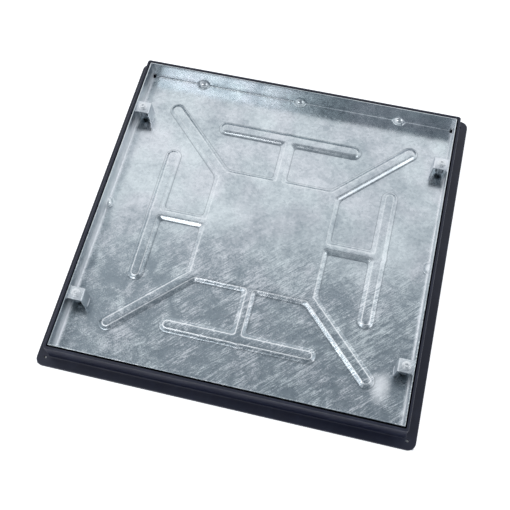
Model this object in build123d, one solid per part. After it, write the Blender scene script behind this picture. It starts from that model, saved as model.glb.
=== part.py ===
from build123d import *
import os

# Recessed inspection cover for a square manhole.
# A folded and pressed galvanised steel tray, which is filled with paving, lies loose in a
# moulded plastic frame. Four lifting sockets are welded inside the tray.
#
# Millimetres, +Z up. The origin is the centre of the frame's underside, and the cover's
# sides run along X and Y. The front is towards -Y.

# Driving dimensions
CLEAR_OPENING = 600.0
TRAY_WIDTH = 640.0
SHEET = 2.0
RECESS_DEPTH = 41.0

# Frame
SEAT_THICKNESS = 3.5
FLANGE_THICKNESS = 4.5
FLANGE_WIDTH = 694.0
FLANGE_CORNER_RADIUS = 15.0
TRAY_CLEARANCE = 2.8
UPRIGHT_THICKNESS = 4.6
UPRIGHT_CORNER_RADIUS = 5.0
OPENING_CORNER_RADIUS = 8.0
FRAME_BELOW_RIM = 1.5
LAND_ROUNDING = 1.6
FLANGE_ROUNDING = 1.5
FOOT_ROUNDING = 2.0
FIXING_SPACING = 662.0
FIXING_HOLE_RADIUS = 2.75

# Sealing strip
SEAL_THICKNESS = 1.5
SEAL_WIDTH = 14.0
SEAL_INSET = 2.0

# Tray
OUTER_BEND_RADIUS = 4.0
INNER_BEND_RADIUS = 2.0
RELIEF_HOLE_RADIUS = 4.0

# Stiffening pattern pressed up from the tray's floor
PRESSED_HEIGHT = 4.0
BEVEL_RUN = 7.0
OCTAGON_HALF_WIDTH = 122.0
OCTAGON_CORNER_CUT = 18.0
RIB_HALF_WIDTH = 11.0
STEM_HALF_WIDTH = 9.0
BAR_OFFSET = 221.0
BAR_HALF_LENGTH = 132.0
ARM_REACH = 343.0

# Round darts pressed into the bend between floor and wall
DART_RADIUS = 13.0
DART_SETBACK = 2.0
DART_SPACING = 208.0

# Lifting brackets, each folded from a strip
BRACKET_PLATE = 2.5
BRACKET_WIDTH = 25.0
BRACKET_OFFSET = 212.0
BRACKET_BELOW_RIM = 5.0
BRACKET_TOP_REACH = 28.0
BRACKET_FOOT_REACH = 30.5
BRACKET_BEND_RADIUS = 4.5
SOCKET_FROM_WALL = 13.0

# Threaded sockets and their plugs
THREAD_RADIUS = 4.0
RUNNING_CLEARANCE = 0.05
NUT_RADIUS = 8.0
NUT_HEIGHT = 24.0
CLEARANCE_HOLE_RADIUS = 4.5
WASHER_RADIUS = 8.5
WASHER_THICKNESS = 1.5
HEAD_RADIUS = 6.5
HEAD_HEIGHT = 3.0
HEAD_ROUNDING = 0.8
SHANK_LENGTH = 14.0
SHANK_CHAMFER = 0.8
KEY_FLATS_RADIUS = 2.9
KEY_DEPTH = 2.2

# Worked out from the above
tray_half = TRAY_WIDTH / 2
inner_half = tray_half - SHEET
tray_underside = SEAT_THICKNESS + SEAL_THICKNESS
floor_top = tray_underside + SHEET
rim_height = floor_top + RECESS_DEPTH
frame_inner_half = tray_half + TRAY_CLEARANCE
frame_outer_half = frame_inner_half + UPRIGHT_THICKNESS
frame_top = rim_height - FRAME_BELOW_RIM
plate_top = rim_height - BRACKET_BELOW_RIM
plate_underside = plate_top - BRACKET_PLATE

UPWARD = (Align.CENTER, Align.CENTER, Align.MIN)
# Each dart's wall, as a turn from the back wall, and its place along that wall
DARTS = [(0, -DART_SPACING), (0, 0), (0, DART_SPACING), (180, -DART_SPACING), (180, 0), (180, DART_SPACING),
         (90, 0), (-90, 0)]
CORNERS = {"front_left": (-1, -1), "front_right": (1, -1), "back_left": (-1, 1), "back_right": (1, 1)}


def square_block(half, bottom, top, radius):
    """An upright block with rounded vertical corners."""
    outline = RectangleRounded(2 * half, 2 * half, radius)
    return Pos(0, 0, bottom) * extrude(outline, top - bottom)


def edges_at(solid, height):
    """The edges that lie flat at one height."""
    return solid.edges().filter_by_position(Axis.Z, height - 0.01, height + 0.01)


def edges_within(solid, height, half):
    """The edges at one height that lie inside a square of the given half width."""
    limit = half + 0.01
    found = []
    for edge in edges_at(solid, height):
        box = edge.bounding_box()
        if max(-box.min.X, box.max.X, -box.min.Y, box.max.Y) < limit:
            found.append(edge)
    return found


def make_frame():
    """Seat ledge, upright wall and outer flange in one moulding."""
    flange = square_block(FLANGE_WIDTH / 2, 0, FLANGE_THICKNESS, FLANGE_CORNER_RADIUS)
    flange = fillet(edges_at(flange, FLANGE_THICKNESS), FLANGE_ROUNDING)
    upright = square_block(frame_outer_half, 0, frame_top, UPRIGHT_CORNER_RADIUS)
    frame = flange + upright
    frame = fillet(edges_within(frame, FLANGE_THICKNESS, frame_outer_half), FOOT_ROUNDING)
    frame = fillet(edges_at(frame, frame_top), LAND_ROUNDING)
    frame -= square_block(frame_inner_half, SEAT_THICKNESS, frame_top + 1, UPRIGHT_CORNER_RADIUS / 2)
    frame -= square_block(CLEAR_OPENING / 2, -1, SEAT_THICKNESS + 1, OPENING_CORNER_RADIUS)
    for across, along in CORNERS.values():
        place = Pos(across * FIXING_SPACING / 2, along * FIXING_SPACING / 2, -1)
        frame -= place * Cylinder(FIXING_HOLE_RADIUS, FLANGE_THICKNESS + 2, align=UPWARD)
    return frame


def make_seal(side):
    """One self-adhesive strip on the seat. The front and back strips run over the corners."""
    reach = CLEAR_OPENING / 2 + SEAL_INSET + SEAL_WIDTH
    middle = reach - SEAL_WIDTH / 2
    if side in ("front", "back"):
        strip = Box(2 * reach, SEAL_WIDTH, SEAL_THICKNESS, align=UPWARD)
        return Pos(0, middle if side == "back" else -middle, SEAT_THICKNESS) * strip
    strip = Box(SEAL_WIDTH, 2 * (reach - SEAL_WIDTH), SEAL_THICKNESS, align=UPWARD)
    return Pos(middle if side == "right" else -middle, 0, SEAT_THICKNESS) * strip


def rib(start, end, half_width):
    """A round-ended raised rib with sloping sides, lying on the plane z = 0."""
    middle = (Vector(*start) + Vector(*end)) / 2
    direction = Vector(*end) - Vector(*start)
    turn = direction.get_signed_angle(Vector(1, 0, 0), Vector(0, 0, -1))
    place = Pos(middle.X, middle.Y, 0) * Rot(0, 0, turn)
    base = SlotCenterToCenter(direction.length, 2 * half_width + BEVEL_RUN)
    crest = SlotCenterToCenter(direction.length, 2 * half_width - BEVEL_RUN)
    return place * loft([base.face(), (Pos(0, 0, PRESSED_HEIGHT) * crest).face()], ruled=True)


def octagon(half_width):
    """A square outline whose corners are cut where the diagonal arms leave it."""
    near = half_width - OCTAGON_CORNER_CUT
    points = [(half_width, near), (near, half_width), (-near, half_width), (-half_width, near),
              (-half_width, -near), (-near, -half_width), (near, -half_width), (half_width, -near)]
    return make_face(Polyline(*points, close=True))


def make_pressing():
    """The whole raised pattern: a middle octagon, four diagonal arms and four T-shaped arms."""
    base = octagon(OCTAGON_HALF_WIDTH + BEVEL_RUN / 2)
    crest = Pos(0, 0, PRESSED_HEIGHT) * octagon(OCTAGON_HALF_WIDTH - BEVEL_RUN / 2)
    pressing = loft([base, crest], ruled=True)
    arm_end = ARM_REACH / 2 ** 0.5
    arm_start = OCTAGON_HALF_WIDTH - OCTAGON_CORNER_CUT
    for turn in range(4):
        bar = rib((BAR_OFFSET, -BAR_HALF_LENGTH), (BAR_OFFSET, BAR_HALF_LENGTH), RIB_HALF_WIDTH)
        stem = rib((OCTAGON_HALF_WIDTH - BEVEL_RUN * 2, 0), (BAR_OFFSET, 0), STEM_HALF_WIDTH)
        arm = rib((arm_start, arm_start), (arm_end, arm_end), RIB_HALF_WIDTH)
        pressing += [Rot(0, 0, 90 * turn) * piece for piece in (bar, stem, arm)]
    return pressing


def dart(radius, turn, position):
    """A ball whose middle is just outside the bend at the foot of one wall."""
    place = Pos(position, inner_half + DART_SETBACK, floor_top - DART_SETBACK)
    return Rot(0, 0, turn) * place * Sphere(radius)


def make_tray():
    """Folded pan with the pattern, the darts and the relief holes pressed into it."""
    outer = Pos(0, 0, tray_underside) * Box(TRAY_WIDTH, TRAY_WIDTH, RECESS_DEPTH + SHEET, align=UPWARD)
    outer = fillet(edges_at(outer, tray_underside), OUTER_BEND_RADIUS)
    inside = Pos(0, 0, floor_top) * Box(2 * inner_half, 2 * inner_half, RECESS_DEPTH, align=UPWARD)
    inside = fillet(edges_at(inside, floor_top), INNER_BEND_RADIUS)
    pressing = make_pressing()
    tray = outer - inside
    for turn, position in DARTS:
        tray += dart(DART_RADIUS, turn, position) & inside
        tray -= dart(DART_RADIUS - SHEET, turn, position) & outer
    tray += Pos(0, 0, floor_top) * pressing
    tray -= Pos(0, 0, tray_underside) * pressing
    for across, along in CORNERS.values():
        tray -= Pos(across * inner_half, along * inner_half, floor_top) * Sphere(RELIEF_HOLE_RADIUS)
    return tray


def make_bracket(across, along):
    """A strip welded to the wall, folded down to the floor a little further in."""
    bend = inner_half - BRACKET_TOP_REACH
    foot = inner_half - BRACKET_FOOT_REACH
    lean = (bend - foot) / (plate_top - floor_top)
    leg_depth = BRACKET_PLATE * (1 + lean ** 2) ** 0.5
    inner_bend = bend + leg_depth - lean * BRACKET_PLATE
    upper = FilletPolyline((inner_half, plate_top), (bend, plate_top), (foot, floor_top),
                           radius=BRACKET_BEND_RADIUS)
    lower = FilletPolyline((inner_half, plate_underside), (inner_bend, plate_underside),
                           (foot + leg_depth, floor_top), radius=BRACKET_BEND_RADIUS - BRACKET_PLATE)
    outline = make_face([upper, lower, Line(upper @ 0, lower @ 0), Line(upper @ 1, lower @ 1)])
    strip = extrude(Plane.XZ * outline, BRACKET_WIDTH / 2, both=True)
    strip = Pos(0, along * BRACKET_OFFSET, 0) * Rot(0, 0, 0 if across > 0 else 180) * strip
    return strip - socket_place(across, along, plate_underside) * Cylinder(
        CLEARANCE_HOLE_RADIUS, BRACKET_PLATE, align=UPWARD)


def socket_place(across, along, height):
    """The middle of a lifting socket at one height."""
    return Pos(across * (inner_half - SOCKET_FROM_WALL), along * BRACKET_OFFSET, height)


def make_nut(across, along):
    """Round threaded socket welded under the bracket's plate."""
    nut = Cylinder(NUT_RADIUS, NUT_HEIGHT, align=UPWARD) - Cylinder(THREAD_RADIUS, NUT_HEIGHT, align=UPWARD)
    return socket_place(across, along, plate_underside - NUT_HEIGHT) * nut


def make_washer(across, along):
    """Flat washer under the plug's head."""
    washer = Cylinder(WASHER_RADIUS, WASHER_THICKNESS, align=UPWARD)
    washer -= Cylinder(CLEARANCE_HOLE_RADIUS, WASHER_THICKNESS, align=UPWARD)
    return socket_place(across, along, plate_top) * washer


def make_plug(across, along):
    """Low-headed screw that keeps the socket clean until a lifting key takes its place."""
    shank = Cylinder(THREAD_RADIUS - RUNNING_CLEARANCE, SHANK_LENGTH, align=UPWARD)
    shank = chamfer(edges_at(shank, 0), SHANK_CHAMFER)
    head = Pos(0, 0, SHANK_LENGTH) * Cylinder(HEAD_RADIUS, HEAD_HEIGHT, align=UPWARD)
    head = fillet(edges_at(head, SHANK_LENGTH + HEAD_HEIGHT), HEAD_ROUNDING)
    key_hole = extrude(RegularPolygon(KEY_FLATS_RADIUS, 6), KEY_DEPTH)
    plug = shank + head - Pos(0, 0, SHANK_LENGTH + HEAD_HEIGHT - KEY_DEPTH) * key_hole
    return socket_place(across, along, plate_top + WASHER_THICKNESS - SHANK_LENGTH) * plug


def save(node, solid):
    export_step(solid, f"parts/{node}.step")


def main():
    os.makedirs("parts", exist_ok=True)
    save("frame", make_frame())
    save("tray", make_tray())
    for side in ("front", "back", "left", "right"):
        save(f"seal_{side}", make_seal(side))
    for corner, (across, along) in CORNERS.items():
        save(f"bracket_{corner}", make_bracket(across, along))
        save(f"lifting_socket_{corner}", make_nut(across, along))
        save(f"plug_washer_{corner}", make_washer(across, along))
        save(f"socket_plug_{corner}", make_plug(across, along))


main()
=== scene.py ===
"""The looks of a recessed manhole cover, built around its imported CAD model.

Metres, +Z up. The origin is the centre of the frame's underside and the front is towards -Y.
"""
import math
import random

import bmesh
import bpy
from mathutils import Matrix, Vector
from mathutils.geometry import delaunay_2d_cdt


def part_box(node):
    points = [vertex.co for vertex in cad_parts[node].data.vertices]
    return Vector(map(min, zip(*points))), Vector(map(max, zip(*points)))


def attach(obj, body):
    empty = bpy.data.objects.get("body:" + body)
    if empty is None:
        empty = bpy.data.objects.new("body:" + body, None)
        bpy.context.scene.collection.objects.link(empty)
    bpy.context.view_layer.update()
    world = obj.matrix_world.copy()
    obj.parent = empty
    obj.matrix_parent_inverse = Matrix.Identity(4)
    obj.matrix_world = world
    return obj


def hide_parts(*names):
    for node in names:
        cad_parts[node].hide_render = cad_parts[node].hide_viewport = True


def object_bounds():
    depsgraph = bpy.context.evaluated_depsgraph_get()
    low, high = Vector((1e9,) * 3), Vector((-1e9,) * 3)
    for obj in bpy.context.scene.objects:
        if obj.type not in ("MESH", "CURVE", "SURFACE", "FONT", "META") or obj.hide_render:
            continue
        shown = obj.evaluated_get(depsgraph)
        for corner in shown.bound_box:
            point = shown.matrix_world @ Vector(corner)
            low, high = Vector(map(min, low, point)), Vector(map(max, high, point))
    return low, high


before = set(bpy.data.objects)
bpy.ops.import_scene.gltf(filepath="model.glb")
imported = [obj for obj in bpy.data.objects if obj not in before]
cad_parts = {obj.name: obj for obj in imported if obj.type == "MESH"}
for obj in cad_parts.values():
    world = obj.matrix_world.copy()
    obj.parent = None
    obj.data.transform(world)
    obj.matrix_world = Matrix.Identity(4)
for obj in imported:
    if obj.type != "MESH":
        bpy.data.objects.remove(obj)        # frame["bodies"], ["nodes"], ["joints"], ["record"]
cad_low, cad_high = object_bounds()

MM = 0.001
DIAGONAL = math.sqrt(0.5)
random.seed(11)

CLEAR_OPENING_HALF = 300 * MM
SMOOTH_ANGLE = 40

# Light and shade painted on the zinc: highlights low on the side walls and in one spot, shade under the
# brackets, highlights along the pressed crests and shade at their foot
WALL_HIGHLIGHT_START = 316 * MM
WALL_HIGHLIGHT_FADE = 7 * MM
WALL_HIGHLIGHT_RAGGEDNESS = 9 * MM
# A painted highlight in one spot on the floor
HIGHLIGHT_SPOT_MIDDLE = (270 * MM, -249.6 * MM, 7 * MM)
HIGHLIGHT_SPOT_STRETCH = (0.75, 1.3, 1)
HIGHLIGHT_SPOT_RADIUS = 44 * MM
HIGHLIGHT_SPOT_CORE_RADIUS = 16 * MM
HIGHLIGHT_SPOT_RAGGEDNESS = 26 * MM
# Painted shade under the brackets
BRACKET_SHADE_RADIUS = 24 * MM
BRACKET_SHADE_CORE_RADIUS = 13 * MM
BRACKET_SHADE_RAGGEDNESS = 8 * MM
# Painted highlights along the pressed crests and painted shade at their foot
PAINTED_EDGE_WIDTH = 1.6 * MM
# Colours of the painted highlights, the painted shade under the brackets, the crests' painted highlights and
# the painted shade at their foot
PAINTED_HIGHLIGHT_ZINC = (0.95, 0.96, 0.98)
PAINTED_SHADE_ZINC = (0.27, 0.32, 0.36)
PAINTED_CREST_HIGHLIGHT_ZINC = (0.95, 0.96, 0.97)
PAINTED_FOOT_SHADE = (0.16, 0.18, 0.2)

# Marks of wiping across the front: which way they run, and their grain's length, width and height
STREAK_TURN = 48
STREAK_GRAIN = (26 * MM, 2.9 * MM, 12 * MM)
SCUFF_TURN = 41
SCUFF_GRAIN = (48 * MM, 1.6 * MM, 12 * MM)

# Sheet metal
SHEET = 2 * MM
INNER_BEND_RADIUS = 2 * MM
RELIEF_RADIUS = 4 * MM
CORNER_SEAM = 0.3 * MM
RIM_ROUNDING = 0.5 * MM
WALL_ROW_STEP = 6 * MM
WALL_END_RAMP = 1.2 * MM
UNEVENNESS = 0.3 * MM
UNEVENNESS_FADE = 60 * MM

# Stiffening pattern pressed up from the tray's floor
PRESSED_HEIGHT = 4 * MM
BEVEL_RUN = 7 * MM
BEVEL_ROUNDING = 2.8 * MM
OCTAGON_HALF_WIDTH = 122 * MM
OCTAGON_CORNER_CUT = 18 * MM
RIB_HALF_WIDTH = 11 * MM
STEM_HALF_WIDTH = 9 * MM
BAR_OFFSET = 221 * MM
BAR_HALF_LENGTH = 132 * MM
ARM_REACH = 343 * MM
JUNCTION_BLEND = 7 * MM
CONTOUR_STEP = 2.6 * MM
FLAT_STEP = 9 * MM

# Round darts pressed into the bend between floor and wall
DART_RADIUS = 13 * MM
DART_SETBACK = 2 * MM
DART_REACH = 11 * MM
DART_SPACING = 208 * MM
DART_BLEND = 1.6 * MM
DART_STEP = 1.7 * MM

# Brackets
BRACKET_PLATE = 2.5 * MM
BRACKET_TOP_REACH = 28 * MM
BRACKET_BEND_RADIUS = 4.5 * MM
STRIP_ROUNDING = 0.45 * MM
CLEARANCE_HOLE_RADIUS = 4.5 * MM

# How far the hole cutter reaches above and below a socket's middle. It ends at the plate's underside,
# because the sockets are 24 mm long, so it leaves the plate whole. Over 14.5 mm would cut the hole.
CUTTER_REACH = 12 * MM

# Weld beads
BEAD_STEP = 0.5 * MM
BEAD_SEGMENTS = 12
FOOT_BEAD_RADIUS = 1.3 * MM
WALL_BEAD_RADIUS = 1.4 * MM
SOCKET_BEAD_RADIUS = 1.1 * MM
SOCKET_BEAD_HALF_LENGTH = 3.5 * MM

# Sockets, washers and plugs
THREAD_PITCH = 1.25 * MM
THREAD_DEPTH = 0.45 * MM
THREAD_ROWS = 6
BORE_RADIUS = 4 * MM
SOCKET_CHAMFER = 0.7 * MM
WASHER_HOLE_RADIUS = 4.5 * MM
WASHER_ROUNDING = 0.35 * MM
SHANK_RADIUS = 3.95 * MM
SHANK_POINT = 0.8 * MM
SHANK_LEAD = 0.5 * MM
HEAD_ROUNDING = 0.4 * MM
BOSS_RADIUS = 4.5 * MM
FLANGE_OF_HEAD = 1.3 * MM
KEY_FLATS_RADIUS = 2.6 * MM
KEY_DEPTH = 1.2 * MM
KEY_POINT = 0.6 * MM
ROUND_SEGMENTS = 48

# Foam seals
SEAL_ROUNDING = 0.4 * MM
SEAL_RINGS = 120
SEAL_SWAY = 0.15 * MM

# Studio, in metres
CAMERA_PLACE = (0.18921, -0.72650, 1.46873)
CAMERA_VIEW = (-0.1214, 0.4189, -0.8999)
CAMERA_ROLL = math.radians(-2.778)
CAMERA_SENSOR = 36
CAMERA_LENS = 60.09
TOWARDS_DARK_PATCH = (0.15, -0.4, 0.9)
FLOOR_HALF = 4
FLOOR_DROP = 0.3 * MM
FLOOR_GLOW = 0.6

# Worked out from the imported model
tray_low, tray_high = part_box("tray")
tray_half = tray_high.x
inner_half = tray_half - SHEET
floor_half = inner_half - INNER_BEND_RADIUS
floor_top = tray_low.z + SHEET
rim_height = tray_high.z
wall_height = rim_height - floor_top
CORNERS = {"front_left": -1, "front_right": 1, "back_left": -1, "back_right": 1}   # -1 is the left side


# Mesh helpers

def mesh_object(name, points, faces, material, smooth_angle=SMOOTH_ANGLE):
    """A shown mesh object with one material, smooth except along sharp edges."""
    mesh = bpy.data.meshes.new(name)
    mesh.from_pydata([tuple(point) for point in points], [], faces)
    mesh.materials.append(material)
    tidy_mesh(mesh, smooth_angle)
    made = bpy.data.objects.new(name, mesh)
    bpy.context.scene.collection.objects.link(made)
    return made


def tidy_mesh(mesh, smooth_angle):
    """Joins points that meet, turns the faces outwards and marks the sharp edges."""
    work = bmesh.new()
    work.from_mesh(mesh)
    bmesh.ops.remove_doubles(work, verts=work.verts, dist=0.002 * MM)
    bmesh.ops.recalc_face_normals(work, faces=work.faces)
    work.to_mesh(mesh)
    work.free()
    mesh.polygons.foreach_set("use_smooth", [True] * len(mesh.polygons))
    mesh.set_sharp_from_angle(angle=math.radians(smooth_angle))


def ring_faces(rings, around, closed=False):
    """Quads between neighbouring rings of points, with both ends capped unless the rings close."""
    faces = []
    spans = rings if closed else rings - 1
    for ring in range(spans):
        for step in range(around):
            here = ring * around
            above = (ring + 1) % rings * around
            after = (step + 1) % around
            faces.append((here + step, here + after, above + after, above + step))
    if not closed:
        faces.append(tuple(range(around))[::-1])
        faces.append(tuple((rings - 1) * around + step for step in range(around)))
    return faces


def lathe(name, outline, place, material, closed=False, shape=None):
    """Turns an outline of (radius, height) pairs about a vertical line. shape may change a radius."""
    points = []
    for row, (radius, height) in enumerate(outline):
        for step in range(ROUND_SEGMENTS):
            angle = math.tau * step / ROUND_SEGMENTS
            reach = shape(row, radius, height, angle) if shape else radius
            points.append(place + Vector((reach * math.cos(angle), reach * math.sin(angle), height)))
    return mesh_object(name, points, ring_faces(len(outline), ROUND_SEGMENTS, closed), material)


def arc(centre, radius, start, end, steps):
    """Points along an arc in a plane, with its angles in degrees."""
    points = []
    for step in range(steps + 1):
        angle = math.radians(start + (end - start) * step / steps)
        points.append((centre[0] + radius * math.cos(angle), centre[1] + radius * math.sin(angle)))
    return points


def axis_of(node):
    """The point at height 0 on the upright line through the middle of a CAD node."""
    low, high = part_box(node)
    return Vector(((low.x + high.x) / 2, (low.y + high.y) / 2, 0))


# Tray

def blended_least(first, second, blend):
    """The smaller of two distances, with a rounded change from one to the other."""
    overlap = max(blend - abs(first - second), 0) / blend
    return min(first, second) - overlap * overlap * blend / 4


def pattern_distance(x, y):
    """Distance from the middle of the raised pattern's bevel, below zero inside the pattern."""
    across = max(abs(x), abs(y))
    along = min(abs(x), abs(y))
    forward = (across + along) * DIAGONAL
    sideways = (across - along) * DIAGONAL
    cut = forward - (2 * OCTAGON_HALF_WIDTH - OCTAGON_CORNER_CUT) * DIAGONAL
    middle = max(across - OCTAGON_HALF_WIDTH, cut)
    bar = math.hypot(across - BAR_OFFSET, max(along - BAR_HALF_LENGTH, 0)) - RIB_HALF_WIDTH
    stem = math.hypot(max(across - BAR_OFFSET, 0), along) - STEM_HALF_WIDTH
    arm = math.hypot(sideways, max(forward - ARM_REACH, 0)) - RIB_HALF_WIDTH
    distance = blended_least(middle, arm, JUNCTION_BLEND)
    distance = blended_least(distance, stem, JUNCTION_BLEND)
    return blended_least(distance, bar, JUNCTION_BLEND)


def eased(distance):
    """A ramp that starts gently: zero below, then as steep as one to one."""
    if distance <= -BEVEL_ROUNDING:
        return 0
    if distance >= BEVEL_ROUNDING:
        return distance
    return (distance + BEVEL_ROUNDING) ** 2 / (4 * BEVEL_ROUNDING)


def pressed_height(x, y):
    """How far the floor is pressed up at one place."""
    distance = pattern_distance(x, y)
    half_run = BEVEL_RUN / 2
    fall = eased(distance + half_run) - eased(distance - half_run)
    return PRESSED_HEIGHT * (1 - fall / BEVEL_RUN)


def slope_of_pattern(x, y):
    """Which way the distance from the pattern grows."""
    nudge = 0.01 * MM
    slope = Vector((pattern_distance(x + nudge, y) - pattern_distance(x - nudge, y),
                    pattern_distance(x, y + nudge) - pattern_distance(x, y - nudge)))
    return slope / (2 * nudge)


def contour(level):
    """Points at one distance from the pattern, from the X axis round to the diagonal."""
    point = Vector((BAR_OFFSET + RIB_HALF_WIDTH + level, 0))
    points = [point]
    while point.x >= point.y:
        slope = slope_of_pattern(*point)
        point = point + Vector((-slope.y, slope.x)).normalized() * CONTOUR_STEP
        for _ in range(3):
            slope = slope_of_pattern(*point)
            point = point - slope * (pattern_distance(*point) - level) / slope.length_squared
        points.append(point)
    end = (ARM_REACH + RIB_HALF_WIDTH + level) * DIAGONAL
    while points[-1].x - points[-1].y < CONTOUR_STEP / 2:
        points.pop()
    return points + [Vector((end, end))]


def bevel_levels():
    """The distances from the bevel's middle that its mesh follows."""
    near = [BEVEL_RUN / 2 + share * BEVEL_ROUNDING for share in (-1, -0.5, 0, 0.5, 1)]
    return [-level for level in reversed(near)] + [0] + near


def dart_steps(reach):
    """How many fine steps cover a dart that reaches so far from its middle."""
    return round((reach + 2 * DART_BLEND) / DART_STEP)


def wall_columns():
    """Places along half a wall, close together at the darts."""
    places = {0.0}
    for middle in (0, DART_SPACING):
        count = dart_steps(DART_RADIUS)
        places.update(middle + step * DART_STEP for step in range(-count, count + 1))
    coarse = FLAT_STEP * 0.6
    place = coarse
    while place < column_end_start():
        if min(abs(place - found) for found in places) > coarse * 0.6:
            places.add(place)
        place += coarse
    return sorted(place for place in places if 0 <= place <= column_end_start())


def column_end_start():
    """Where the last columns of a wall start to follow the relief hole."""
    return floor_half - 2 * RELIEF_RADIUS


def end_columns(end, count=5):
    """The last columns of a wall, spread up to its end."""
    start = column_end_start()
    return [start + (end - start) * step / count for step in range(1, count + 1)]


def floor_boundary():
    """The floor's edge at one wall, from the wall's middle to the corner's relief hole."""
    boundary = [Vector((floor_half, place)) for place in wall_columns()]
    boundary += [Vector((floor_half, place)) for place in end_columns(floor_half - RELIEF_RADIUS)]
    for x, y in arc((floor_half, floor_half), RELIEF_RADIUS, 270, 225, 4)[1:]:
        boundary.append(Vector((x, y)))
    return boundary


def floor_filling():
    """Points inside an eighth of the floor: a grid clear of the pattern, and finer ones at the darts."""
    widest = BEVEL_RUN / 2 + BEVEL_ROUNDING
    filling = []
    steps = int(floor_half / FLAT_STEP)
    for column in range(steps + 1):
        for row in range(column + 1):
            spot = Vector((column * FLAT_STEP, row * FLAT_STEP))
            clear_of_pattern = abs(pattern_distance(*spot)) > widest + FLAT_STEP / 4
            if clear_of_pattern and spot.x < floor_half - FLAT_STEP / 3:
                filling.append(spot)
    for middle in (0, DART_SPACING):
        columns = dart_steps(DART_RADIUS)
        rows = dart_steps(DART_REACH)
        for column in range(-columns, columns + 1):
            for row in range(1, rows + 1):
                spot = Vector((floor_half - row * DART_STEP, middle + column * DART_STEP))
                if spot.y >= 0:
                    filling.append(spot)
    return filling


def floor_octant():
    """Flat triangles over an eighth of the floor, between the X axis and the diagonal."""
    points = []
    edges = []
    for line in [contour(level) for level in bevel_levels()] + [floor_boundary()]:
        edges += [(len(points) + step, len(points) + step + 1) for step in range(len(line) - 1)]
        points += line
    points += floor_filling()
    corner = Vector((floor_half, floor_half))
    result = delaunay_2d_cdt(points, edges, [], 0, 0.05 * MM)
    flat_points = result[0]
    triangles = []
    for face in result[2]:
        middle = sum((flat_points[index] for index in face), Vector((0, 0))) / len(face)
        if (middle - corner).length > RELIEF_RADIUS and middle.x <= floor_half:
            triangles.append(tuple(face))
    return flat_points, triangles


def floor_warp(x, y):
    """The slight waviness of thin sheet, which dies away towards the bends."""
    inset = min(floor_half - abs(x), floor_half - abs(y))
    fade = min(max(inset / UNEVENNESS_FADE, 0), 1)
    waves = math.sin(17 * x + 9 * y + 0.6) + math.sin(-12 * x + 21 * y + 2.1) + math.sin(31 * x - 6 * y)
    return UNEVENNESS * fade * waves / 3


def dart_push(radius, along, inset, height, spots):
    """How far the ball of a dart pushes one place of a wall's foot inwards and upwards."""
    depth = (inset + height + 2 * DART_SETBACK) * DIAGONAL
    sideways = (inset - height) * DIAGONAL
    push = 0
    for spot in spots:
        aside = math.hypot(along - spot, sideways)
        crest = math.sqrt(max(radius ** 2 - aside ** 2, 0)) - 3 * max(aside - radius, 0)
        push = max(push, -blended_least(0, depth - crest, DART_BLEND))
    return push


def turned(turn, outward, along, height):
    """A place given by its distance towards one wall and along it, as a point."""
    cosine, sine = ((1, 0), (0, 1), (-1, 0), (0, -1))[turn]
    return Vector((cosine * outward - sine * along, sine * outward + cosine * along, height))


def dart_spots(turn):
    """Where the darts are along each wall. The left and right walls have one each."""
    return (0,) if turn in (0, 2) else (-DART_SPACING, 0, DART_SPACING)


def shaped_floor(x, y, under):
    """A floor point with the pattern, the waviness and the darts pressed into it."""
    height = floor_top + pressed_height(x, y) + floor_warp(x, y)
    turn = (0 if x > 0 else 2) if abs(x) >= abs(y) else (1 if y > 0 else 3)
    outward = max(abs(x), abs(y))
    along = turned((4 - turn) % 4, x, y, 0).y
    skin = SHEET if under else 0
    push = dart_push(DART_RADIUS - skin, along, inner_half - outward, -skin, dart_spots(turn))
    push *= DIAGONAL
    return turned(turn, outward - push, along, height - skin + push)


def wall_rows():
    """The sheet's section from the floor's edge up to the rim, as rows of
    (length along the sheet, inset and height inside, inset and height outside)."""
    rows = []
    outer_radius = INNER_BEND_RADIUS + SHEET
    steps = 6
    for step in range(steps + 1):
        angle = math.pi / 2 * step / steps
        middle = (INNER_BEND_RADIUS + SHEET / 2) * angle
        inside = (INNER_BEND_RADIUS * (1 - math.sin(angle)), INNER_BEND_RADIUS * (1 - math.cos(angle)))
        outside = (INNER_BEND_RADIUS - outer_radius * math.sin(angle),
                   INNER_BEND_RADIUS - outer_radius * math.cos(angle))
        rows.append((middle, *inside, *outside))
    foot = rows[-1][0]
    height = INNER_BEND_RADIUS
    top = wall_height - RIM_ROUNDING
    while height < top - 1 * MM:
        height += DART_STEP if height < DART_REACH + 2 * DART_BLEND else WALL_ROW_STEP
        height = min(height, top)
        rows.append((foot + height - INNER_BEND_RADIUS, 0, height, -SHEET, height))
    for turn in (45, 90):
        angle = math.radians(turn)
        inset = RIM_ROUNDING * (1 - math.cos(angle))
        level = top + RIM_ROUNDING * math.sin(angle)
        rows.append((foot + level, -inset, level, inset - SHEET, level))
    return rows


def row_end(length, wall_end):
    """How far along the wall a row of the sheet runs, at one length up from the floor."""
    if length < RELIEF_RADIUS:
        return floor_half - math.sqrt(RELIEF_RADIUS ** 2 - length ** 2)
    start = (INNER_BEND_RADIUS + SHEET / 2) * math.pi / 2
    share = min(max((length - start) / WALL_END_RAMP, 0), 1)
    return floor_half + (wall_end - floor_half) * share


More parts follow.
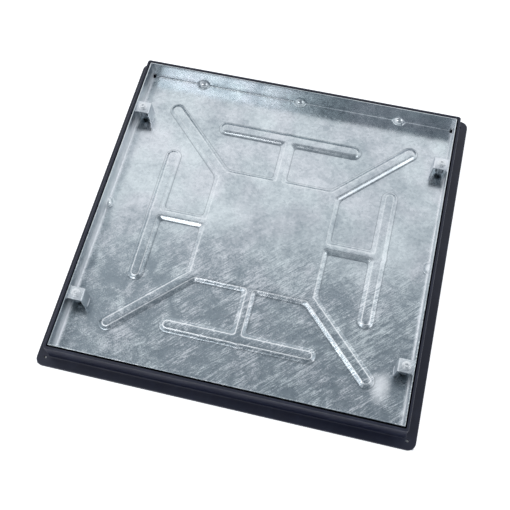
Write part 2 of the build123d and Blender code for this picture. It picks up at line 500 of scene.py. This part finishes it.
def add_wall(turn, points, faces):
    """One bent-up wall of the tray. The front and back walls cover the side walls' ends."""
    wall_end = tray_half if turn in (1, 3) else inner_half - CORNER_SEAM
    rows = wall_rows()
    half = wall_columns()
    inner = []
    outer = []
    for length, inset_in, height_in, inset_out, height_out in rows:
        far = half + end_columns(row_end(length, wall_end))
        columns = [-place for place in reversed(far[1:])] + far
        inside = []
        outside = []
        for along in columns:
            bow = UNEVENNESS * math.sin(9 * along + turn) * min(height_in / wall_height, 1) / 2
            for radius, inset, height, made in ((DART_RADIUS, inset_in, height_in, inside),
                                                (DART_RADIUS - SHEET, inset_out, height_out, outside)):
                push = dart_push(radius, along, inset, height, dart_spots(turn)) * DIAGONAL
                outward = inner_half - inset - push - abs(bow)
                made.append(len(points))
                points.append(turned(turn, outward, along, floor_top + height + push))
        inner.append(inside)
        outer.append(outside)
    last = len(inner[0]) - 1
    for row in range(len(rows) - 1):
        for column in range(last):
            for sheet in (inner, outer):
                faces.append((sheet[row][column], sheet[row][column + 1],
                              sheet[row + 1][column + 1], sheet[row + 1][column]))
        for column in (0, last):
            faces.append((inner[row][column], inner[row + 1][column],
                          outer[row + 1][column], outer[row][column]))
    for column in range(last):
        faces.append((inner[-1][column], inner[-1][column + 1], outer[-1][column + 1], outer[-1][column]))


def add_floor(points, faces):
    """Both faces of the floor, mirrored from an eighth of it, and the relief holes' edges."""
    flat_points, triangles = floor_octant()
    rim = []
    corner = Vector((floor_half, floor_half))
    for index, spot in enumerate(flat_points):
        if abs((spot - corner).length - RELIEF_RADIUS) < 0.02 * MM:
            rim.append(index)
    rim.sort(key=lambda index: flat_points[index].x)
    for across in (1, -1):
        for along in (1, -1):
            for swap in (False, True):
                spots = []
                for spot in flat_points:
                    x, y = (spot.y, spot.x) if swap else (spot.x, spot.y)
                    spots.append((across * x, along * y))
                start = len(points)
                points.extend(shaped_floor(x, y, False) for x, y in spots)
                below = len(points)
                points.extend(shaped_floor(x, y, True) for x, y in spots)
                for triangle in triangles:
                    faces.append(tuple(start + index for index in triangle))
                    faces.append(tuple(below + index for index in triangle))
                for first, second in zip(rim, rim[1:]):
                    faces.append((start + first, start + second, below + second, below + first))


def painted_crest_light_and_shade(x, y, z):
    """Painted light on the pressed pattern: 1 for a painted highlight along a crest's edge, below 0 for
    painted shade at its foot.
    """
    on_top = z > floor_top - SHEET / 2 + pressed_height(x, y)
    if not on_top or max(abs(x), abs(y)) > floor_half:
        return 0
    distance = pattern_distance(x, y)
    crest_highlight = max(1 - abs(distance + BEVEL_RUN / 2) / PAINTED_EDGE_WIDTH, 0)
    foot_shade = max(1 - abs(distance - BEVEL_RUN / 2 - BEVEL_ROUNDING / 2) / PAINTED_EDGE_WIDTH, 0)
    return crest_highlight - foot_shade


def make_tray(material):
    """The folded and pressed pan in one piece of sheet."""
    points = []
    faces = []
    add_floor(points, faces)
    for turn in range(4):
        add_wall(turn, points, faces)
    tray = mesh_object("pressed_tray", points, faces, material, 50)
    # The painted crest highlights and the painted shade at the crests' foot, for the sheet's material
    crest_light_and_shade = tray.data.attributes.new("crest_light_and_shade", "FLOAT", "POINT")
    for spot, vertex in zip(crest_light_and_shade.data, tray.data.vertices):
        spot.value = painted_crest_light_and_shade(*vertex.co)
    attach(tray, "tray")
    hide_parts("tray")


# Brackets, sockets, washers and plugs

def weld_bead(name, start, end, radius, material):
    """A short run of rippled weld metal, half sunk into what it joins."""
    along = (end - start).normalized()
    side = along.orthogonal().normalized()
    other = along.cross(side)
    rings = max(int((end - start).length / BEAD_STEP), 10)
    points = []
    for ring in range(rings + 1):
        share = ring / rings
        taper = math.sqrt(max(1 - (2 * share - 1) ** 6, 0.02))
        size = radius * taper * (1 + 0.1 * math.sin(ring * 1.9) + random.uniform(-0.06, 0.06))
        middle = start.lerp(end, share)
        for step in range(BEAD_SEGMENTS):
            angle = math.tau * step / BEAD_SEGMENTS
            points.append(middle + size * (math.cos(angle) * side + math.sin(angle) * other))
    bead = mesh_object(name, points, ring_faces(rings + 1, BEAD_SEGMENTS), material, 60)
    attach(bead, "tray")


def bracket_path(foot, top):
    """The outer face of a bracket from the wall to the floor, as (distance in, height) pairs."""
    bend = BRACKET_TOP_REACH
    lean = math.atan2(foot - bend, top - floor_top)
    turn = math.pi / 2 - lean
    tangent = BRACKET_BEND_RADIUS * math.tan(turn / 2)
    centre = (bend - tangent, top - BRACKET_BEND_RADIUS)
    path = [(0, top), ((bend - tangent) / 2, top)]
    path += arc(centre, BRACKET_BEND_RADIUS, 90, 90 - math.degrees(turn), 8)
    path += [((path[-1][0] + foot) / 2, (path[-1][1] + floor_top) / 2), (foot, floor_top)]
    return path


def strip_section(width, thickness, rounding):
    """A flat bar's section, with its four long edges rounded."""
    section = []
    for side, level, start in ((1, 1, 0), (-1, 1, 90), (-1, -1, 180), (1, -1, 270)):
        middle = (side * (width / 2 - rounding), level * (thickness / 2 - rounding))
        section += arc(middle, rounding, start, start + 90, 3)
    return section


def make_bracket(corner, across, material):
    """A folded strip welded to the wall and the floor. CUTTER_REACH leaves its plug hole uncut."""
    low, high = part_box(f"bracket_{corner}")
    wall = high.x if across > 0 else low.x
    foot = high.x - low.x
    width = high.y - low.y
    middle_y = (low.y + high.y) / 2
    path = bracket_path(foot, high.z)
    section = strip_section(width, BRACKET_PLATE, STRIP_ROUNDING)
    points = []
    for index, (distance, height) in enumerate(path):
        before = Vector(path[max(index - 1, 0)])
        after = Vector(path[min(index + 1, len(path) - 1)])
        along = (after - before).normalized()
        inward = Vector((along.y, -along.x))
        for wide, thick in section:
            offset = BRACKET_PLATE / 2 - thick
            spot = Vector((distance, height)) + inward * offset
            points.append(Vector((wall - across * spot.x, middle_y + wide, spot.y)))
    faces = ring_faces(len(path), len(section))
    bracket = mesh_object(f"folded_bracket_{corner}", points, faces, material)
    cut_hole(bracket, f"lifting_socket_{corner}", CLEARANCE_HOLE_RADIUS)
    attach(bracket, "tray")
    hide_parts(f"bracket_{corner}")
    reach = 0.36 * width
    foot_x = wall - across * foot
    weld_bead(f"foot_weld_{corner}", Vector((foot_x, middle_y - reach, floor_top)),
              Vector((foot_x, middle_y + reach, floor_top)), FOOT_BEAD_RADIUS, material)
    for name, side in (("near", -1), ("far", 1)):
        edge = middle_y + side * width / 2
        level = high.z - BRACKET_PLATE / 2
        weld_bead(f"wall_weld_{name}_{corner}", Vector((wall, edge, level - 2 * MM)),
                  Vector((wall, edge, level + 1.5 * MM)), WALL_BEAD_RADIUS, material)


def cut_hole(target, socket_node, radius):
    """Cuts a round upright hole in a mesh, as far above and below a socket as CUTTER_REACH says."""
    low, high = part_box(socket_node)
    level = (low.z + high.z) / 2
    outline = [(radius, level - CUTTER_REACH), (radius, level + CUTTER_REACH)]
    cutter = lathe("cutter", outline, axis_of(socket_node), target.data.materials[0])
    modifier = target.modifiers.new("hole", "BOOLEAN")
    modifier.operation = "DIFFERENCE"
    modifier.solver = "EXACT"
    modifier.object = cutter
    graph = bpy.context.evaluated_depsgraph_get()
    cut = bpy.data.meshes.new_from_object(target.evaluated_get(graph))
    target.modifiers.remove(modifier)
    target.data = cut
    cut.set_sharp_from_angle(angle=math.radians(SMOOTH_ANGLE))
    bpy.data.objects.remove(cutter)


def thread_wave(height, angle):
    """The rise and fall of a thread, from 0 to 1."""
    phase = (height / THREAD_PITCH - angle / math.tau) % 1
    return 1 - abs(2 * phase - 1)


def make_socket(corner, material):
    """Round threaded socket under a bracket's plate."""
    low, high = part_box(f"lifting_socket_{corner}")
    radius = (high.x - low.x) / 2
    chamfer = SOCKET_CHAMFER
    place = axis_of(f"lifting_socket_{corner}")
    outline = [(BORE_RADIUS + chamfer, low.z), (radius - chamfer, low.z), (radius, low.z + chamfer),
               (radius, high.z - chamfer), (radius - chamfer, high.z), (BORE_RADIUS + chamfer / 2, high.z)]
    threaded_length = high.z - low.z - 2 * chamfer
    rows = int(threaded_length / THREAD_PITCH * THREAD_ROWS)
    first_thread = len(outline)
    for step in range(rows + 1):
        outline.append((BORE_RADIUS, high.z - chamfer - threaded_length * step / rows))

    def threaded(row, reach, height, angle):
        if row < first_thread:
            return reach
        return reach + THREAD_DEPTH * thread_wave(height, angle)

    socket = lathe(f"threaded_socket_{corner}", outline, place, material, True, threaded)
    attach(socket, "tray")
    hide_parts(f"lifting_socket_{corner}")
    half = Vector((SOCKET_BEAD_HALF_LENGTH, 0, 0))
    for name, side in (("front", -1), ("back", 1)):
        spot = place + Vector((0, side * radius, high.z))
        weld_bead(f"socket_weld_{name}_{corner}", spot - half, spot + half, SOCKET_BEAD_RADIUS, material)


def make_washer(corner, material):
    """Flat stamped washer with softened edges."""
    low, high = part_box(f"plug_washer_{corner}")
    radius = (high.x - low.x) / 2
    hole = WASHER_HOLE_RADIUS
    soft = WASHER_ROUNDING
    place = axis_of(f"plug_washer_{corner}")
    outline = [(hole, low.z + soft), (hole + soft, low.z), (radius - soft, low.z), (radius, low.z + soft),
               (radius, high.z - soft), (radius - soft / 3, high.z - soft / 3), (radius - soft, high.z),
               (hole + soft, high.z), (hole, high.z - soft)]
    washer = lathe(f"flat_washer_{corner}", outline, place, material, True)
    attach(washer, f"plug_{corner}")
    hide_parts(f"plug_washer_{corner}")


def hexagon_reach(flats, angle):
    """How far a hexagon reaches at one angle."""
    sixth = math.tau / 6
    return flats / math.cos((angle + sixth / 2) % sixth - sixth / 2)


def make_plug(corner, material):
    """Threaded plug with a stepped low head and a hexagon key hole."""
    low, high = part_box(f"socket_plug_{corner}")
    head_radius = (high.x - low.x) / 2
    washer_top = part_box(f"plug_washer_{corner}")[1].z
    place = axis_of(f"socket_plug_{corner}")
    soft = HEAD_ROUNDING
    rows = int((washer_top - low.z) / THREAD_PITCH * THREAD_ROWS)
    outline = [(SHANK_RADIUS - SHANK_POINT, low.z)]
    for step in range(rows + 1):
        rise = SHANK_LEAD + (washer_top - low.z - SHANK_LEAD) * step / rows
        outline.append((SHANK_RADIUS, low.z + rise))
    last_thread = len(outline) - 1
    step_height = washer_top + FLANGE_OF_HEAD
    outline += [(head_radius - soft, washer_top), (head_radius, washer_top + soft)]
    outline += arc((head_radius - soft, step_height - soft), soft, 0, 90, 3)
    outline += [(BOSS_RADIUS + soft, step_height), (BOSS_RADIUS, step_height + soft / 2)]
    outline += arc((BOSS_RADIUS - soft, high.z - soft), soft, 0, 90, 3)
    first_key = len(outline)
    outline += [(KEY_FLATS_RADIUS, high.z), (KEY_FLATS_RADIUS, high.z - KEY_DEPTH)]
    last_key = len(outline)
    outline += [(0.05 * MM, high.z - KEY_DEPTH - KEY_POINT)]

    def shaped(row, reach, height, angle):
        if 0 < row < last_thread:
            return reach - THREAD_DEPTH * (1 - thread_wave(height, angle))
        if first_key <= row < last_key:
            return hexagon_reach(reach, angle)
        return reach

    plug = lathe(f"threaded_plug_{corner}", outline, place, material, False, shaped)
    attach(plug, f"plug_{corner}")
    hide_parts(f"socket_plug_{corner}")


def make_seal(side, material):
    """A soft strip with rounded edges, lying on the frame's ledge."""
    low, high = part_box(f"seal_{side}")
    size = high - low
    lengthways = size.x > size.y
    length = size.x if lengthways else size.y
    width = size.y if lengthways else size.x
    middle = (low + high) / 2
    section = strip_section(width, size.z, SEAL_ROUNDING)
    points = []
    for ring in range(SEAL_RINGS + 1):
        along = length * (ring / SEAL_RINGS - 0.5)
        sway = SEAL_SWAY * math.sin(37 * along)
        for wide, thick in section:
            spot = (along, wide + sway) if lengthways else (wide + sway, along)
            points.append(middle + Vector((spot[0], spot[1], thick)))
    seal = mesh_object(f"foam_strip_{side}", points, ring_faces(SEAL_RINGS + 1, len(section)), material)
    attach(seal, "frame")
    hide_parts(f"seal_{side}")


# Materials

class Nodes:
    """Short names for the node calls that the materials share."""

    def __init__(self, name):
        self.material = bpy.data.materials.new(name)
        self.material.use_nodes = True
        self.tree = self.material.node_tree
        self.shader = self.tree.nodes["Principled BSDF"]
        self.place = self.tree.nodes.new("ShaderNodeTexCoord").outputs["Object"]

    def link(self, source, target):
        self.tree.links.new(source, target)

    def split_place(self):
        """The three object coordinates on their own."""
        split = self.tree.nodes.new("ShaderNodeSeparateXYZ")
        self.link(self.place, split.inputs["Vector"])
        return split.outputs["X"], split.outputs["Y"], split.outputs["Z"]

    def stretched(self, turn, scale):
        """Object coordinates turned about Z and divided by a grain's length, width and height."""
        mapping = self.tree.nodes.new("ShaderNodeMapping")
        mapping.vector_type = "TEXTURE"
        mapping.inputs["Rotation"].default_value = (0, 0, math.radians(turn))
        mapping.inputs["Scale"].default_value = scale
        self.link(self.place, mapping.inputs["Vector"])
        return mapping.outputs["Vector"]

    def noise(self, scale, detail=4, rough=0.55, place=None, distortion=0.0):
        node = self.tree.nodes.new("ShaderNodeTexNoise")
        node.inputs["Scale"].default_value = scale
        node.inputs["Detail"].default_value = detail
        node.inputs["Roughness"].default_value = rough
        node.inputs["Distortion"].default_value = distortion
        self.link(place or self.place, node.inputs["Vector"])
        return node.outputs["Fac"]

    def cells(self, scale):
        """A random value in each of many crystal-like cells."""
        node = self.tree.nodes.new("ShaderNodeTexVoronoi")
        node.inputs["Scale"].default_value = scale
        self.link(self.place, node.inputs["Vector"])
        split = self.tree.nodes.new("ShaderNodeSeparateColor")
        self.link(node.outputs["Color"], split.inputs["Color"])
        return split.outputs["Red"]

    def spread(self, source, low, high, to_low=0.0, to_high=1.0):
        """A smooth change from to_low to to_high as the source goes from low to high."""
        node = self.tree.nodes.new("ShaderNodeMapRange")
        node.interpolation_type = "SMOOTHSTEP"
        node.inputs["From Min"].default_value = low
        node.inputs["From Max"].default_value = high
        node.inputs["To Min"].default_value = to_low
        node.inputs["To Max"].default_value = to_high
        self.link(source, node.inputs["Value"])
        return node.outputs["Result"]

    def sums(self, operation, first, second):
        node = self.tree.nodes.new("ShaderNodeMath")
        node.operation = operation
        for socket, value in zip(node.inputs, (first, second)):
            if isinstance(value, (int, float)):
                socket.default_value = value
            else:
                self.link(value, socket)
        return node.outputs["Value"]

    def plus(self, first, second):
        return self.sums("ADD", first, second)

    def minus(self, first, second):
        return self.sums("SUBTRACT", first, second)

    def times(self, first, second):
        return self.sums("MULTIPLY", first, second)

    def unsigned(self, value):
        return self.sums("ABSOLUTE", value, 0)

    def blend(self, share, first, second):
        node = self.tree.nodes.new("ShaderNodeMix")
        node.data_type = "RGBA"
        self.link(share, node.inputs["Factor"])
        colours = [socket for socket in node.inputs if socket.type == "RGBA"]
        for socket, value in zip(colours, (first, second)):
            if isinstance(value, tuple):
                socket.default_value = (*value, 1)
            else:
                self.link(value, socket)
        return next(socket for socket in node.outputs if socket.type == "RGBA")

    def bump(self, height, distance, strength=1.0, under=None):
        node = self.tree.nodes.new("ShaderNodeBump")
        node.inputs["Distance"].default_value = distance
        node.inputs["Strength"].default_value = strength
        self.link(height, node.inputs["Height"])
        if under:
            self.link(under, node.inputs["Normal"])
        return node.outputs["Normal"]

    def finish(self, colour, roughness, normal, metallic=0.0):
        self.link(colour, self.shader.inputs["Base Color"])
        self.link(roughness, self.shader.inputs["Roughness"])
        self.link(normal, self.shader.inputs["Normal"])
        self.shader.inputs["Metallic"].default_value = metallic
        return self.material


def painted_highlight_places(nodes, x, z):
    """Where a highlight is painted on the zinc: low on the side walls' inner faces, and in one spot in a
    front corner.
    """
    across = nodes.unsigned(x)
    ragged = nodes.times(nodes.noise(70, 5, 0.65), WALL_HIGHLIGHT_RAGGEDNESS)
    side = nodes.spread(nodes.plus(across, ragged), WALL_HIGHLIGHT_START, WALL_HIGHLIGHT_START + WALL_HIGHLIGHT_FADE)
    inside = nodes.spread(across, tray_half - 0.6 * MM, tray_half - 1.4 * MM)
    low = nodes.spread(z, floor_top + 30 * MM, floor_top + 12 * MM, 0.25, 1.0)
    walls = nodes.times(nodes.times(side, inside), low)
    patchy = nodes.spread(nodes.noise(26, 4, 0.6), 0.32, 0.6, 0.55, 1.0)
    return nodes.sums("MAXIMUM", nodes.times(walls, patchy), painted_highlight_spot(nodes, z))


def painted_highlight_spot(nodes, z):
    """A ragged painted highlight in one spot on the floor's upper face."""
    away = nodes.tree.nodes.new("ShaderNodeVectorMath")
    away.operation = "DISTANCE"
    away.inputs[1].default_value = [place / size for place, size in zip(HIGHLIGHT_SPOT_MIDDLE, HIGHLIGHT_SPOT_STRETCH)]
    nodes.link(nodes.stretched(0, HIGHLIGHT_SPOT_STRETCH), away.inputs[0])
    ragged = nodes.times(nodes.noise(45, 5, 0.7), HIGHLIGHT_SPOT_RAGGEDNESS)
    near = nodes.spread(nodes.plus(away.outputs["Value"], ragged), HIGHLIGHT_SPOT_RADIUS, HIGHLIGHT_SPOT_CORE_RADIUS, 0.0, 0.85)
    upper_face = nodes.spread(z, floor_top - 1.2 * MM, floor_top - 0.8 * MM)
    return nodes.times(near, upper_face)


def painted_shade_places(nodes, x, y, z):
    """Where shade is painted on the floor and the walls under the four brackets."""
    plug = axis_of("socket_plug_back_right")
    across = nodes.minus(nodes.unsigned(x), plug.x)
    along = nodes.minus(nodes.unsigned(y), plug.y)
    square = nodes.plus(nodes.times(across, across), nodes.times(along, along))
    ragged = nodes.times(nodes.noise(90, 4, 0.6), BRACKET_SHADE_RAGGEDNESS)
    away = nodes.plus(nodes.sums("SQRT", square, 0), ragged)
    under = nodes.spread(z, rim_height - 4 * MM, rim_height - 9 * MM)
    return nodes.times(nodes.spread(away, BRACKET_SHADE_RADIUS, BRACKET_SHADE_CORE_RADIUS), under)


def painted_light_on_zinc(nodes, place, frontness, mottling, colour, roughness):
    """Light and shade painted over plain zinc: highlights on the side walls and in one spot, shade under the
    brackets, highlights along the pressed crests and shade at their foot.
    """
    x, y, z = place
    # Painted highlights low on the side walls and in one spot on the floor
    painted_highlight = painted_highlight_places(nodes, x, z)
    colour = nodes.blend(painted_highlight, colour, PAINTED_HIGHLIGHT_ZINC)
    roughness = nodes.plus(roughness, nodes.times(painted_highlight, 0.4))
    # Painted shade under the brackets
    colour = nodes.blend(painted_shade_places(nodes, x, y, z), colour, PAINTED_SHADE_ZINC)
    # Painted highlights along the crests, then painted shade at their foot
    crest_light_and_shade = nodes.tree.nodes.new("ShaderNodeAttribute")
    crest_light_and_shade.attribute_name = "crest_light_and_shade"
    uneven = nodes.spread(mottling, 0.3, 0.6, 0.5, 1.0)
    crest_highlight = nodes.times(nodes.spread(crest_light_and_shade.outputs["Fac"], 0.05, 0.9), uneven)
    crest_highlight = nodes.times(crest_highlight, nodes.spread(frontness, 0.0, 1.0, 0.35, 1.0))
    colour = nodes.blend(crest_highlight, colour, PAINTED_CREST_HIGHLIGHT_ZINC)
    roughness = nodes.plus(roughness, nodes.times(crest_highlight, 0.2))
    colour = nodes.blend(nodes.spread(crest_light_and_shade.outputs["Fac"], -0.1, -1.0, 0.0, 0.5), colour, PAINTED_FOOT_SHADE)
    return colour, roughness


def tinted(nodes, light):
    """The light zinc colour, drifting a little between warm and cool."""
    tint = nodes.noise(11, 3, 0.5, nodes.stretched(20, (1, 1, 1)))
    warm = tuple(channel * factor for channel, factor in zip(light, (1.012, 0.995, 1.008)))
    cool = tuple(channel * factor for channel, factor in zip(light, (0.975, 1.004, 1.0)))
    return nodes.blend(nodes.spread(tint, 0.4, 0.6), warm, cool)


def galvanised(name, dark, light, base_roughness, with_painted_light):
    """Hot-dip galvanised sheet: zinc crystals, cloudy patches, wiped streaks and fine scuffs, with the front
    painted darker as painted shade.
    """
    nodes = Nodes(name)
    crystals = nodes.cells(230)
    fine_crystals = nodes.cells(600)
    clouds = nodes.noise(7, 6, 0.62, distortion=0.6)
    patches = nodes.noise(24, 5, 0.6, distortion=0.8)
    mottling = nodes.noise(80, 6, 0.7)
    speckle = nodes.noise(420, 3, 0.6)
    streaks = nodes.noise(1, 6, 0.66, nodes.stretched(STREAK_TURN, STREAK_GRAIN), distortion=1.3)
    scuffs = nodes.noise(1, 3, 0.5, nodes.stretched(SCUFF_TURN, SCUFF_GRAIN), distortion=1.2)

    x, y, z = nodes.split_place()
    frontness = nodes.spread(y, 0.06, -0.22)
    wiped = nodes.times(frontness, nodes.spread(patches, 0.34, 0.62, 0.2, 1.0))
    wiped = nodes.times(wiped, nodes.spread(x, -0.24, -0.02, 0.4, 1.0))

    tone = nodes.plus(nodes.times(crystals, 0.1), nodes.times(clouds, 0.62))
    tone = nodes.plus(tone, nodes.times(mottling, 0.3))
    # The last part paints the front of the sheet darker: painted shade.
    parts = ((nodes.times(wiped, nodes.minus(streaks, 0.53)), 2.7),
             (nodes.times(wiped, nodes.minus(scuffs, 0.5)), 1.8),
             (nodes.times(frontness, nodes.minus(speckle, 0.5)), 1.1),
             (nodes.times(nodes.plus(frontness, 0.3), nodes.minus(patches, 0.5)), 0.9),
             (frontness, -0.12))
    for part, weight in parts:
        tone = nodes.plus(tone, nodes.times(part, weight))
    colour = nodes.blend(nodes.spread(tone, 0.2, 0.76), dark, tinted(nodes, light))

    rough = nodes.plus(nodes.times(crystals, 0.04), nodes.times(mottling, 0.12))
    rough = nodes.plus(rough, nodes.times(frontness, 0.06))
    roughness = nodes.plus(rough, base_roughness)
    # The tray's sheet gets painted highlights and painted shade
    if with_painted_light:
        colour, roughness = painted_light_on_zinc(nodes, (x, y, z), frontness, mottling, colour, roughness)

    normal = nodes.bump(fine_crystals, 0.01 * MM, 0.2)
    normal = nodes.bump(crystals, 0.02 * MM, 0.2, normal)
    normal = nodes.bump(mottling, 0.16 * MM, 0.4, normal)
    normal = nodes.bump(patches, 0.9 * MM, 0.35, normal)
    wiped_height = nodes.times(streaks, nodes.plus(wiped, 0.05))
    normal = nodes.bump(wiped_height, 0.4 * MM, 0.8, normal)
    normal = nodes.bump(nodes.times(scuffs, wiped), 0.07 * MM, 0.7, normal)
    return nodes.finish(colour, roughness, normal, 1.0)


def zinc_plated(name, dark, light, base_roughness):
    """Bright zinc plating on small turned parts, with handling marks."""
    nodes = Nodes(name)
    clouds = nodes.noise(160, 4, 0.6)
    grain = nodes.noise(2600, 3, 0.6)
    colour = nodes.blend(nodes.spread(clouds, 0.35, 0.7), dark, light)
    roughness = nodes.spread(clouds, 0.3, 0.7, base_roughness, base_roughness + 0.15)
    normal = nodes.bump(grain, 0.03 * MM, 0.4)
    return nodes.finish(colour, roughness, normal, 1.0)


def moulded_plastic(name):
    """Satin black moulded polypropylene with a fine grain and dust."""
    nodes = Nodes(name)
    grain = nodes.noise(1500, 4, 0.6)
    flow = nodes.noise(1, 4, 0.55, nodes.stretched(0, (70 * MM, 70 * MM, 11 * MM)))
    dust = nodes.noise(30, 6, 0.7)
    colour = nodes.blend(nodes.spread(dust, 0.45, 0.8), (0.004, 0.006, 0.022), (0.014, 0.018, 0.042))
    roughness = nodes.spread(flow, 0.3, 0.7, 0.34, 0.5)
    normal = nodes.bump(grain, 0.03 * MM, 0.5)
    normal = nodes.bump(flow, 0.2 * MM, 0.35, normal)
    return nodes.finish(colour, roughness, normal)


def foam_rubber(name):
    """Black closed-cell foam."""
    nodes = Nodes(name)
    pores = nodes.cells(1400)
    clouds = nodes.noise(90, 4, 0.6)
    colour = nodes.blend(nodes.spread(clouds, 0.35, 0.7), (0.012, 0.012, 0.013), (0.03, 0.03, 0.032))
    roughness = nodes.spread(clouds, 0.3, 0.7, 0.78, 0.92)
    normal = nodes.bump(pores, 0.08 * MM, 0.6)
    return nodes.finish(colour, roughness, normal)


# Studio

def make_camera():
    """The camera that looks down on the cover from the front, a little to the right."""
    view = Vector(CAMERA_VIEW).normalized()
    level = Vector((view.y, -view.x, 0)).normalized()
    upright = level.cross(view)
    right = level * math.cos(CAMERA_ROLL) + upright * math.sin(CAMERA_ROLL)
    up = upright * math.cos(CAMERA_ROLL) - level * math.sin(CAMERA_ROLL)
    camera = bpy.data.objects.new("camera", bpy.data.cameras.new("camera"))
    camera.data.sensor_width = CAMERA_SENSOR
    camera.data.lens = CAMERA_LENS
    facing = Matrix((right, up, -view)).transposed().to_4x4()
    camera.matrix_world = Matrix.Translation(CAMERA_PLACE) @ facing
    bpy.context.scene.collection.objects.link(camera)
    bpy.context.scene.camera = camera


def soft_light(name, place, target, size, power):
    """A rectangular studio light that faces the cover."""
    lamp = bpy.data.lights.new(name, "AREA")
    lamp.shape = "RECTANGLE"
    lamp.size, lamp.size_y = size
    lamp.energy = power
    made = bpy.data.objects.new(name, lamp)
    made.location = place
    made.rotation_euler = (Vector(target) - Vector(place)).to_track_quat("-Z", "Y").to_euler()
    bpy.context.scene.collection.objects.link(made)


def make_world():
    """A pale room with one dark patch above the camera, as where the photographer stands."""
    world = bpy.data.worlds.new("studio")
    bpy.context.scene.world = world
    world.use_nodes = True
    tree = world.node_tree
    direction = tree.nodes.new("ShaderNodeTexCoord").outputs["Generated"]
    towards = tree.nodes.new("ShaderNodeVectorMath")
    towards.operation = "DOT_PRODUCT"
    towards.inputs[1].default_value = Vector(TOWARDS_DARK_PATCH).normalized()
    tree.links.new(direction, towards.inputs[0])
    ramp = tree.nodes.new("ShaderNodeValToRGB")
    ramp.color_ramp.interpolation = "EASE"
    stops = ((0.44, 1.10), (0.54, 1.05), (0.605, 1.02), (0.66, 0.78), (0.72, 0.38), (0.82, 0.35))
    for index, (place, level) in enumerate(stops):
        element = ramp.color_ramp.elements[index] if index < 2 else ramp.color_ramp.elements.new(place)
        element.position = place
        blueness = 0.04 + 0.10 * (1 - level)
        element.color = ((1 - blueness) * level, level, (1 + blueness) * level, 1)
    tree.links.new(towards.outputs["Value"], ramp.inputs["Fac"])
    tree.links.new(ramp.outputs["Color"], tree.nodes["Background"].inputs["Color"])


def make_stage():
    """A plain pale floor that glows, except in a ring under the frame."""
    nodes = Nodes("pale_floor")
    tone = nodes.noise(3, 2, 0.5)
    colour = nodes.blend(tone, (0.90, 0.90, 0.90), (0.93, 0.93, 0.93))
    nodes.link(colour, nodes.shader.inputs["Base Color"])
    nodes.shader.inputs["Roughness"].default_value = 0.9
    nodes.shader.inputs["Emission Color"].default_value = (1, 1, 1, 1)
    x, y, _ = nodes.split_place()
    reach = nodes.sums("MAXIMUM", nodes.unsigned(x), nodes.unsigned(y))
    ring_middle = (cad_high.x + CLEAR_OPENING_HALF) / 2
    ring_half = (cad_high.x - CLEAR_OPENING_HALF) / 2 - 2 * MM
    from_ring = nodes.unsigned(nodes.minus(reach, ring_middle))
    glow = nodes.spread(from_ring, ring_half - 1 * MM, ring_half, 0.0, FLOOR_GLOW)
    nodes.link(glow, nodes.shader.inputs["Emission Strength"])
    half = FLOOR_HALF
    level = cad_low.z - FLOOR_DROP
    corners = [(-half, -half, level), (half, -half, level), (half, half, level), (-half, half, level)]
    mesh_object("pale_floor", corners, [(0, 1, 2, 3)], nodes.material)


def main():
    make_camera()
    make_world()
    make_stage()
    soft_light("front_left_softbox", (-0.795, -0.70, 1.5), (-0.795, -0.3, 0), (1.11, 0.40), 5.0)
    soft_light("right_softbox", (1.5, 0.0, 1.45), (0.1, 0, 0), (0.8, 0.8), 3.6)

    sheet = galvanised("galvanised_sheet", (0.29, 0.335, 0.37), (0.78, 0.81, 0.83), 0.15, True)
    strip = galvanised("galvanised_strip", (0.58, 0.61, 0.64), (0.80, 0.83, 0.86), 0.26, False)
    socket = zinc_plated("zinc_socket", (0.22, 0.25, 0.28), (0.36, 0.39, 0.42), 0.34)
    washer = zinc_plated("zinc_washer", (0.70, 0.72, 0.74), (0.84, 0.86, 0.88), 0.22)
    plug = zinc_plated("zinc_plug", (0.66, 0.68, 0.70), (0.82, 0.84, 0.86), 0.24)
    plastic = moulded_plastic("black_polypropylene")
    foam = foam_rubber("black_foam")

    make_tray(sheet)
    for corner, across in CORNERS.items():
        make_bracket(corner, across, strip)
        make_socket(corner, socket)
        make_washer(corner, washer)
        make_plug(corner, plug)
    for side in ("front", "back", "left", "right"):
        make_seal(side, foam)
    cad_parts["frame"].data.materials.clear()
    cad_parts["frame"].data.materials.append(plastic)


main()
bpy.context.scene.view_settings.view_transform = "Standard"
bpy.context.view_layer.update()
